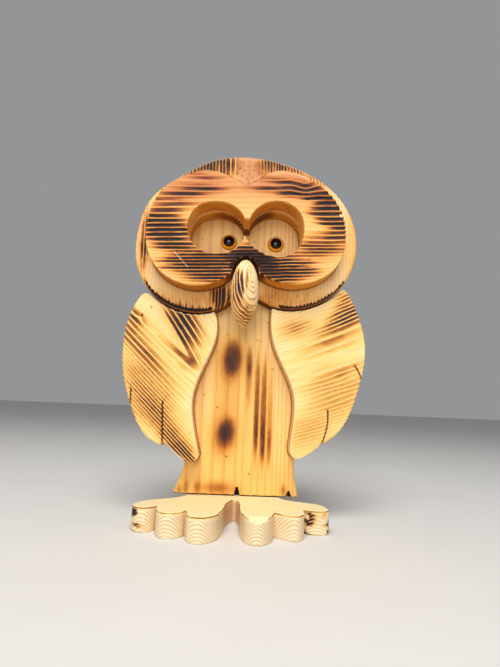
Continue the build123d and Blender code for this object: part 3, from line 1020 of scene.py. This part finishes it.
def wing_toast(u, v, w):
    cloud = noise_at(u, v, 0, (16, 16, 1), 49)
    return 0.06 + 0.05 * cloud + 0.05 * smoothstep(3, 7, w)


def wing_rim_highlight(side):
    """The rounded rim towards the breast gets a painted highlight."""

    def bare_and_highlight(u, v, w):
        breast_side = (w < 1.5) & (np.abs(u) < 66) & (v > 48)
        return 0.55 * smoothstep(1.5, 0.6, gap_to(side + "_wing", u, v, breast_side, saw_cuts=False))

    return bare_and_highlight


LEFT_DOTS = [(-90.0, 168.0), (-82.5, 175.2)]


def left_toast(u, v, w):
    return wing_toast(u, v, w) + dots(LEFT_DOTS, u, v, 0.9) * (w < 4) * 0.45


# Right wing: lines rise to the outside.
RIGHT_RING_Z = (40, 65, 95, 125, 160, 167, 205)
RIGHT_RING = (-3.4, 6.5, 17.0, 24.5, 28.0, 30.0, 41.5)
RIGHT_BURNS = patches(
    (88, 177, 18, 8, 0.82, 22, 3), (86, 190, 11, 7, 0.55, 26), (80, 164, 22, 6, 0.55, 22),
    (76, 154, 24, 3.5, 0.42, 22), (42, 162, 13, 7, 0.40, 20), (80, 110, 30, 25, 0.34, 20, 3),
    (56, 74, 24, 15, 0.26, 18), (88, 127, 18, 4, 0.26, 18), (75, 146, 24, 4, 0.32, 20),
)
right_scorch = shifted_burn(RIGHT_BURNS, 21, 4.0, 14)


def right_ring(u, v, w):
    slope = 0.29 + 0.0015 * np.clip(v - 60, 0, 140)
    level = v - slope * (u - 75) + 0.25 * w
    wave = noise_at(u, v, w, (40, 9, 20), 27) * 0.18
    return np.interp(level, RIGHT_RING_Z, RIGHT_RING) + wave


def right_burn(u, v, w, ring):
    return ragged(right_scorch(u, v, ring), u, v, 37, 0.1) * on_walls(w, 5.0)


# Body: grain upright, with airbrush-soft scorches down the breast and streaks in four hollows.
BODY_RING_X = (-80, -5, 1.25, 2.5, 9.45, 10.7, 15.15, 16.4, 21.55, 22.8, 27.5, 75)
BODY_RING = (-9.4, -2.3, -1.3, -1.0, -0.3, 0.0, 0.7, 1.0, 1.7, 2.0, 2.7, 16.0)
BODY_STREAKS = patches(
    (4.8, 133, 2.8, 13, 0.40, 0, 3), (5, 116, 3, 22, 0.24, 0, 3), (5, 86, 4, 30, 0.10),
    (12.9, 100, 2.8, 45, 0.40, 0, 4), (12.9, 72, 2.6, 22, 0.26, 0, 3), (19, 96, 3.0, 46, 0.40, 0, 4),
    (19, 64, 2.8, 17, 0.38, 0, 3), (24.8, 92, 2.4, 44, 0.26, 0, 4), (24.6, 60, 2.2, 15, 0.24, 0, 3),
)
BODY_SMOKES = patches(
    (4.6, 126, 3.6, 22, 0.10), (13.0, 94, 3.6, 47, 0.12, 0, 3), (19.5, 88, 3.4, 45, 0.12, 0, 3),
    (25, 66, 2.8, 22, 0.08),
)
BODY_SCORCHES = patches(
    (-10.2, 136, 6.8, 13, 0.62, -5, 3), (-11, 135.5, 9.0, 16.5, 0.36, 0, 2.6),
    (-12, 133, 14, 24, 0.22, 0, 2), (-13.4, 70.5, 6.0, 10, 0.56, -12, 3),
    (-14, 69, 8.2, 13, 0.36, -8, 2.4), (-15, 68, 14, 19, 0.22, 0, 2), (-13, 104, 13, 44, 0.15, 0, 4),
    (-18, 24, 14, 5, 0.34), (-45, 24, 2.2, 5, 0.28), (-36, 24, 2.6, 5, 0.30), (-51, 22, 2, 4, 0.25),
    (38, 24, 2.0, 4, 0.32),
)
BODY_DOTS = [
    (10.5, 153.0), (13.5, 152.5), (25.5, 127.5), (19.5, 169.5), (7.8, 36.5), (-12, 50.5), (-34, 102.5),
    (-43.5, 245.4), (5, 245.0), (40, 251.0), (-16, 157.0), (-22, 92.0),
]
BODY_FOOT = 18  # height of the body's bottom edge
NOTCHES = ((-1.9, 4.2, 6.5), (42.4, 3.6, 5.0))  # x, width and height of the wedges burnt out of it
NOTCH_DEPTH = 7.0


def notch_half_width(v, width, height):
    return width / 2 * np.clip(1 - (v - BODY_FOOT) / height, 0, 1)


def body_ring(u, v, w):
    beside_streaks = smoothstep(24, 32, np.abs(u - 8))
    drift = noise_at(u, v, w, (9, 90, 18), 29) * 0.12 * beside_streaks
    lean = 0.03 * np.clip(v - 110, 0, 60)
    return np.interp(u + lean + 0.25 * w, BODY_RING_X, BODY_RING) + drift


def body_burn(u, v, w, ring):
    foot = CHARRED * smoothstep(1.1, 0.4, v - BODY_FOOT - 0.3 * noise_at(u, 0, 0, (1.3, 1, 1), 45))
    streaks = ragged(blotches(BODY_STREAKS, u, v), u, v, 39, 0.14, (2, 9)) * on_walls(w)
    notches = np.zeros(len(u))
    for x, width, height in NOTCHES:
        half = notch_half_width(v, width, height) + 0.9
        near = smoothstep(-0.3, 0.4, half - np.abs(u - x)) * (v < BODY_FOOT + 1 + height)
        notches = np.maximum(notches, near)
    return np.maximum(np.maximum(streaks, foot), notches * on_walls(w, 6))


def body_toast_and_shade(u, v, w):
    soft = ragged(blotches(BODY_SCORCHES + BODY_SMOKES, u, v), u, v, 47, 0.07, (6, 9)) * on_walls(w)
    belly = 0.08 * smoothstep(150, 70, v) + 0.07 * smoothstep(70, 30, v) + 0.02
    # painted shade under the head, darker towards the throat
    throat = 0.02 * smoothstep(150, 190, v)
    # painted shade: dark lines on the body along the wings' edges
    joint_shade = 0 * u
    for wing in ("left_wing", "right_wing"):
        joint_shade += 0.55 * smoothstep(1.1, 0.3, gap_to(wing, u, v, w < 0.6))
    specks = 0.6 * dots(BODY_DOTS, u, v, 0.5) * (w < 1)
    return joint_shade + soft + belly + throat + specks + 0.12 * smoothstep(2, 7, w)


def body_pocket(u, v):
    depth = np.zeros(len(u))
    for x, width, height in NOTCHES:
        within = smoothstep(-0.35, 0.1, notch_half_width(v, width, height) - np.abs(u - x))
        depth = np.maximum(depth, NOTCH_DEPTH * within * (v < BODY_FOOT + height))
    return depth


# Base: grain along the feet; arched rings show where the toes cut across them.
BASE_THICKNESS = 18
BASE_RING = 2.4  # millimetres from ring to ring


def base_ring(u, v, w):
    wave = noise_at(u, v, w, (38, 12, 12), 51) * 0.5
    return (BASE_THICKNESS - w + 1.2 * v + 0.10 * u) / BASE_RING + wave


def base_burn(u, v, w, ring):
    ends = blotches(patches((-78, -18, 6, 11, 1.0), (68, -8, 5, 9, 1.0), (52, -15, 4.5, 5, 1.0)), u, v)
    sides = smoothstep(1.2, 3, w) * smoothstep(-0.15, 0.35, noise_at(u, v, w, (7, 7, 2.6), 53))
    return CHARRED * np.clip(1.3 * ends * sides, 0, 1)


def base_pocket(u, v):
    """One toe's front edge is chamfered by a few knife cuts."""
    knife = 0.35 * np.abs(((u - 6) % 6.5) - 3.2)
    on_toe = smoothstep(4.6, 7.5, u) * smoothstep(22.6, 19.5, u)
    return np.clip((-43.6 - v) * 0.62 + knife - 0.6, 0, 4.2) * on_toe


def in_valley(u, v):
    """The gap between the two feet."""
    return blotches(patches((-4, 3, 10, 27, 0.6, 0, 4)), u, v)


def base_valley_shade(u, v, w):
    # painted shade: the sides in the gap between the feet darkened
    return 0.9 * in_valley(u, v) * smoothstep(1.0, 3.0, w)


def base_toast_and_shade(u, v, w):
    toe_edge = smoothstep(0.3, 0.7, w) * smoothstep(1.9, 1.1, w) * (v < 16)
    patchy = 0.35 + 0.65 * smoothstep(-0.9, -0.1, noise_at(u, v, 0, (7, 7, 1), 55))
    mottled = 0.05 * (1 + noise_at(u, v, 0, (30, 2.2, 1), 57)) * (w < 1)
    # the valley's sides get painted shade here too
    sides = (0.05 + 0.10 * in_valley(u, v)) * smoothstep(1.0, 3.0, w)
    return 0.01 + mottled + 0.6 * toe_edge * patchy + sides


# ---------------------------------------------------------------------------- boards

outlines = {}
for node in ("face_board", "left_wing", "right_wing", "body_board"):
    outlines[node] = read_outline(node)
outlines["head_board"] = read_outline("head_board", crisp_holes=True)
outlines["base_feet"] = read_outline("base_feet", lying=True)


def cover(node, margin=5.0):
    return Cover(outlines[node][0], margin)


BOARDS = [
    Board(
        "face_board", "flamed_face_pine", face_ring, face_burn, face_toast_and_shade, 2.5, 0.9,
        groove=0.25, rosy_and_shade=face_rosy, bare_and_highlight=face_bare_and_highlight, pale_sides=face_socket_sides,
        step=(1.5, 0.36), back_covers=(cover("head_board", 6.0),),
    ),
    Board(
        "head_board", "flamed_pine", head_ring, head_burn, head_toast_and_shade, 90, 4.2,
        groove=0.25, burnt_groove=1.0, rosy_and_shade=head_rosy,
        front_covers=(cover("face_board"),), back_covers=(cover("body_board"),),
    ),
    Board(
        "left_wing", "wing_pine", left_ring, left_burn, left_toast, -44, 1.8,
        burnt_groove=0.55, bare_and_highlight=wing_rim_highlight("left"), step=(1.6, 0.40),
        back_step=(3.0, 0.9), back_covers=(cover("body_board"),),
    ),
    Board(
        "right_wing", "wing_pine", right_ring, right_burn, wing_toast, 20, 1.8,
        groove=0.20, burnt_groove=0.5, bare_and_highlight=wing_rim_highlight("right"), step=(1.6, 0.42),
        back_step=(3.0, 0.9), back_covers=(cover("body_board"),),
    ),
    Board(
        "body_board", "body_pine", body_ring, body_burn, body_toast_and_shade, 90, 1.5,
        groove=0.05, burnt_groove=0.35, pocket=body_pocket, step=(1.4, 0.5), back_step=(3.0, 0.9),
        front_covers=(cover("left_wing"), cover("right_wing")),
    ),
    Board(
        "base_feet", "pale_pine", base_ring, base_burn, base_toast_and_shade, 0, 1.0,
        groove=0.05, burnt_groove=0.35, pocket=base_pocket, burnt_pocket=False, rosy_and_shade=base_valley_shade, lying=True,
        step=(1.4, 0.6), wall_step=0.8,
    ),
]
WOODS = {
    "flamed_face_pine": (linear(248, 206, 142), linear(228, 160, 90), 0.35, 0.48),
    "flamed_pine": (linear(242, 213, 168), linear(218, 158, 94), 0.45, 0.44),
    "wing_pine": (linear(250, 227, 170), linear(226, 168, 88), 0.46, 1.3),
    "body_pine": (linear(248, 216, 150), linear(212, 158, 92), 0.55, 0.75),
    "pale_pine": (linear(253, 242, 202), linear(216, 178, 134), 0.50),
    "beak_pine": (linear(255, 240, 206), linear(190, 128, 74), 0.85),
}
materials = {name: wood_material(name, *look) for name, look in WOODS.items()}


def dress(obj, slot_name, *nodes):
    """Gives a piece its material, its body, its slot and the CAD nodes it stands for."""
    obj.data.materials.clear()
    obj.data.materials.append(materials[slot_name])
    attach(obj, BODY)
    if nodes:
        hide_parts(*nodes)
    return obj


for board in BOARDS:
    dress(make_board(board, *outlines[board.node]), board.slot, board.node)

# ------------------------------------------------------------------------------ beak

BEAK_ROWS, BEAK_COLUMNS = 210, 200
BEAK_RING_AXIS = np.array([0.64, -0.74, 0.20])
BEAK_RING_FALL = (0.0, 0.25, 0.8, 1.6, 3.0, 6.5, 10.5, 25.0, 45.0)  # mm inward from the foremost ring
BEAK_RINGS = (0.3, 1.0, 2.0, 3.0, 3.8, 5.0, 6.0, 9.6, 13.0)
BEAK_CENTRE_Y = -2.0  # of the ellipsoid that the beak is carved from
BEAK_GROOVE_TOAST = 0.14
BEAK_BURNS = patches(
    (-6.0, 5, 2.6, 15, 1.0, 5, 4), (-2.6, 5, 1.7, 12, 0.95, 3, 4), (-9.8, -1, 2, 11, 0.7),
    (1.4, 8, 1.5, 10, 0.62, 0, 3), (1, -22, 10, 12, 0.5), (-6, -8, 5, 10, 0.4),
    (2.4, -15.5, 0.9, 1.0, 0.9),
)


def make_beak():
    """A carved egg: an ellipsoid cut flat at the back, with brushed rings across it."""
    low, high = box_mm("beak")
    half = np.array([(high[0] - low[0]) / 2, BEAK_CENTRE_Y - low[1], (high[2] - low[2]) / 2])
    centre = np.array([(low[0] + high[0]) / 2, BEAK_CENTRE_Y, (low[2] + high[2]) / 2])
    tilt = np.pi * (np.arange(BEAK_ROWS) + 0.5) / BEAK_ROWS
    turn = 2 * np.pi * np.arange(BEAK_COLUMNS) / BEAK_COLUMNS
    t, a = np.meshgrid(tilt, turn, indexing="ij")
    unit = np.stack([np.sin(t) * np.cos(a), np.sin(t) * np.sin(a), np.cos(t)], -1).reshape(-1, 3)
    unit = np.concatenate([unit, [[0, 0, 1], [0, 0, -1]]])
    local = unit * half
    taper = 1 - 0.10 * smoothstep(0, 1, -unit[:, 2]) * np.abs(unit[:, 2])
    local[:, :2] *= taper[:, None]
    normal = unit / half
    normal /= np.linalg.norm(normal, axis=1)[:, None]
    inward = local @ BEAK_RING_AXIS - 0.02 * np.clip(-local[:, 2] - 5, 0, None) ** 2
    fall = inward.max() - inward
    wave = noise(local, (4, 4, 9), 61) * 0.30
    ring = np.interp(fall, BEAK_RING_FALL, BEAK_RINGS) + wave
    burn = blotches(BEAK_BURNS, local[:, 0], local[:, 2]) * (local[:, 1] < 0)
    burn = np.maximum(burn, BEAK_GROOVE_TOAST * (local[:, 1] < 4))
    tip = smoothstep(-0.15, -0.7, unit[:, 2])
    fuzz = 0.05 * (1 + noise(local, (0.8, 0.8, 5), 63))
    depth = (0.34 + 0.45 * burn + 0.4 * tip) * (1 - ridge(ring)) + fuzz
    place = local + centre - normal * depth[:, None]
    place[:, 1] = np.minimum(place[:, 1], high[1])
    faces = ring_faces(BEAK_ROWS, BEAK_COLUMNS)
    top, last = BEAK_ROWS * BEAK_COLUMNS, (BEAK_ROWS - 1) * BEAK_COLUMNS
    bottom = top + 1
    for c in range(BEAK_COLUMNS):
        d = (c + 1) % BEAK_COLUMNS
        faces += [(top, c, d), (bottom, last + d, last + c)]
    fields = {
        "ring": ring, "burn": burn, "toast_and_shade": 0.10 * tip + 0.15 * smoothstep(0, 6, local[:, 1]),
        "rosy_and_shade": 0 * ring, "bare_and_highlight": 0 * ring, "wall": 0 * ring, "grain": local[:, [2, 0, 1]],
    }
    return new_mesh("wood_beak", place, faces, fields)


dress(make_beak(), "beak_pine", "beak")

# ------------------------------------------------------------------------------ eyes

PUPIL_RADIUS = 5.0
EYE_SEGMENTS = 96


def lathe(name, profile, centre, closed):
    """A round piece facing -Y: profile is (radius, height above the centre's plane), from the middle out."""
    turn = 2 * np.pi * np.arange(EYE_SEGMENTS) / EYE_SEGMENTS
    points, radius, lift = [], [], []
    for r, h in profile:
        around = np.column_stack([r * np.cos(turn), 0 * turn - h, r * np.sin(turn)])
        points.append(centre + around)
        radius.append(0 * turn + r)
        lift.append(r * np.sin(turn))
    rows = len(profile)
    faces = ring_faces(rows, EYE_SEGMENTS, closed)
    if not closed:
        for row, flip in ((0, False), (rows - 1, True)):
            loop = [row * EYE_SEGMENTS + s for s in range(EYE_SEGMENTS)]
            faces.append(tuple(loop[::-1] if flip else loop))
    fields = {"radius": np.concatenate(radius), "lift": np.concatenate(lift)}
    return new_mesh(name, np.concatenate(points), faces, fields, 40)


def dome_height(r, radius, rise):
    sphere = (radius**2 + rise**2) / (2 * rise)
    return np.sqrt(np.clip(sphere**2 - r**2, 0, None)) - (sphere - rise)


def amber_glass():
    """Amber glass painted darker at its rim, with painted light: brighter low down where light gathers,
    darker at the top.
    """
    m = Shader("amber_glass")
    radius, lift = m.field("radius"), m.field("lift")
    place = m.place()
    cloud = m.noise(m.scaled(place, (500.0, 500.0, 500.0)), 4)
    across = m.times(m.math("SUBTRACT", radius, PUPIL_RADIUS), 1 / 2.5)
    band = m.ramp(across, [
        (0.0, linear(96, 44, 4)), (0.13, linear(252, 172, 18)), (0.55, linear(255, 196, 30)),
        (0.78, linear(236, 146, 16)), (0.92, linear(120, 60, 8)), (1.0, linear(70, 36, 8)),
    ])
    # painted light and shade: brighter low down where light gathers in the glass, darker at the top under the
    # socket's shadow
    low = m.ramp(m.plus(m.times(lift, 0.067), 0.5), [
        (0.0, (1.0, 1.0, 1.0, 1)), (0.45, (0.92, 0.86, 0.75, 1)), (1.0, (0.60, 0.48, 0.36, 1)),
    ])
    colour = m.mix(1.0, band, low, "MULTIPLY")
    colour = m.mix(m.times(cloud, 0.25), colour, linear(150, 76, 8))
    rough = m.plus(m.times(cloud, 0.06), 0.06)
    normal = m.bump(cloud, 0.00005, 0.3)
    return m.finish({
        "Base Color": colour, "Roughness": rough, "Normal": normal, "IOR": 1.52,
        "Coat Weight": 0.8, "Coat Roughness": 0.04,
    })


def black_glass():
    """Black glass, with the faintest smoky clouding and polish marks."""
    m = Shader("black_glass")
    place = m.place()
    cloud = m.noise(m.scaled(place, (260.0, 260.0, 260.0)), 5)
    colour = m.mix(m.ramp(cloud, [(0.35, 0.0), (0.75, 1.0)]), linear(3, 3, 4), linear(10, 11, 13))
    rough = m.plus(m.times(cloud, 0.10), 0.05)
    normal = m.bump(cloud, 0.00004, 0.25)
    return m.finish({"Base Color": colour, "Roughness": rough, "Normal": normal, "IOR": 1.4})


materials["amber_glass"] = amber_glass()
materials["black_glass"] = black_glass()
materials["pin_wire"] = metal_material("pin_wire", linear(170, 172, 176), 0.30)
materials["screw_zinc"] = metal_material("screw_zinc", linear(206, 198, 170), 0.28)
materials["dowel_beech"] = plain_wood_material("dowel_beech")

for side in ("left", "right"):
    low, high = box_mm(side + "_eye_iris")
    centre = np.array([(low[0] + high[0]) / 2, high[1], (low[2] + high[2]) / 2])
    eye_radius = (high[0] - low[0]) / 2
    rise = high[1] - box_mm(side + "_eye_pupil")[0][1]
    rounding = np.linspace(PUPIL_RADIUS, eye_radius, 14)
    face = [(r, dome_height(r, eye_radius, rise)) for r in rounding]
    lip = face[0][1]
    inner = [(PUPIL_RADIUS, 0.05), (PUPIL_RADIUS, lip - 0.25), (PUPIL_RADIUS + 0.12, lip - 0.06)]
    outer = [(eye_radius, 0.12), (eye_radius - 0.1, 0.0)]
    iris = lathe(side + "_iris_glass", inner + face[1:-1] + outer, centre, True)
    dress(iris, "amber_glass", side + "_eye_iris")
    steps = np.linspace(0.02, 0.96, 16) * PUPIL_RADIUS
    face = [(r, dome_height(r, eye_radius, rise) - 0.01) for r in steps]
    shoulder = dome_height(PUPIL_RADIUS, eye_radius, rise)
    side_wall = [(PUPIL_RADIUS - 0.04, shoulder - 0.08), (PUPIL_RADIUS - 0.02, 0.05)]
    pupil = lathe(side + "_pupil_glass", face + side_wall, centre, False)
    dress(pupil, "black_glass", side + "_eye_pupil")

# ------------------------------------------------------------------------- fasteners

CARRIED = {  # nodes that keep their CAD shape
    "left_eye_pin": "pin_wire", "right_eye_pin": "pin_wire",
    "base_screws": "screw_zinc", "head_screws": "screw_zinc", "wing_screws": "screw_zinc",
    "face_dowels": "dowel_beech", "beak_dowel": "dowel_beech",
}
for node, slot_name in CARRIED.items():
    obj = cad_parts[node]
    obj.data.materials.clear()
    obj.data.materials.append(materials[slot_name])
    obj.data.shade_smooth()
    obj.data.set_sharp_from_angle(angle=math.radians(30))

# ----------------------------------------------------------------------------- stage


def floor_material():
    """Pale matt paper, very slightly mottled."""
    m = Shader("paper")
    place = m.place()
    cloud = m.noise(m.scaled(place, (9.0, 9.0, 9.0)), 4)
    colour = m.mix(cloud, linear(216, 214, 210), linear(208, 206, 202))
    normal = m.bump(m.noise(m.scaled(place, (900.0, 900.0, 900.0)), 3), 0.0001, 0.3)
    return m.finish({"Base Color": colour, "Roughness": 0.85, "Normal": normal})


FLOOR_HALF = 30.0  # metres
floor = new_mesh(
    "floor", np.array([(-1, -1, 0), (1, -1, 0), (1, 1, 0), (-1, 1, 0)]) * FLOOR_HALF / MM, [(0, 1, 2, 3)], {}
)
floor.data.materials.append(floor_material())


def area_light(name, place, target, size, power, colour=(1, 1, 1)):
    data = bpy.data.lights.new(name, "AREA")
    data.shape, data.size, data.size_y = "RECTANGLE", *size
    data.energy, data.color = power, colour
    light = bpy.data.objects.new(name, data)
    light.location = place
    light.rotation_euler = (Vector(target) - Vector(place)).to_track_quat("-Z", "Y").to_euler()
    bpy.context.scene.collection.objects.link(light)


CHEST = (0.0, 0.0, 0.17)
area_light("sky", (-0.10, -0.90, 1.50), CHEST, (1.0, 0.8), 27.0, (1.0, 0.99, 0.97))
area_light("fill", (-0.10, -1.45, 0.55), CHEST, (0.6, 0.6), 9.0, (1.0, 0.99, 0.98))

world = bpy.data.worlds.new("studio")
world.use_nodes = True
world.node_tree.nodes["Background"].inputs["Color"].default_value = (0.93, 0.94, 0.96, 1)
world.node_tree.nodes["Background"].inputs["Strength"].default_value = 0.32
bpy.context.scene.world = world

# ---------------------------------------------------------------------------- camera

CAMERA_PLACE = (-0.007, -0.384, 0.09205)
CAMERA_LENS = 25.097
CAMERA_PITCH, CAMERA_YAW, CAMERA_ROLL = 0.16, 0.026862, 0.040174


def camera_axes():
    """The camera's right, up and forward directions from its turn, tilt and roll."""
    cy, sy = math.cos(CAMERA_YAW), math.sin(CAMERA_YAW)
    cp, sp = math.cos(CAMERA_PITCH), math.sin(CAMERA_PITCH)
    forward = Vector((sy * cp, cy * cp, sp))
    level, above = Vector((cy, -sy, 0)), Vector((-sy * sp, -cy * sp, cp))
    c, s = math.cos(CAMERA_ROLL), math.sin(CAMERA_ROLL)
    return level * c + above * s, above * c - level * s, forward


camera_data = bpy.data.cameras.new("camera")
camera_data.lens = CAMERA_LENS
camera_data.clip_start, camera_data.clip_end = 0.01, 100
camera = bpy.data.objects.new("camera", camera_data)
right, up, forward = camera_axes()
camera.matrix_world = Matrix.Translation(CAMERA_PLACE) @ Matrix((right, up, -forward)).transposed().to_4x4()
bpy.context.scene.collection.objects.link(camera)
bpy.context.scene.camera = camera
bpy.context.scene.view_settings.view_transform = "Standard"
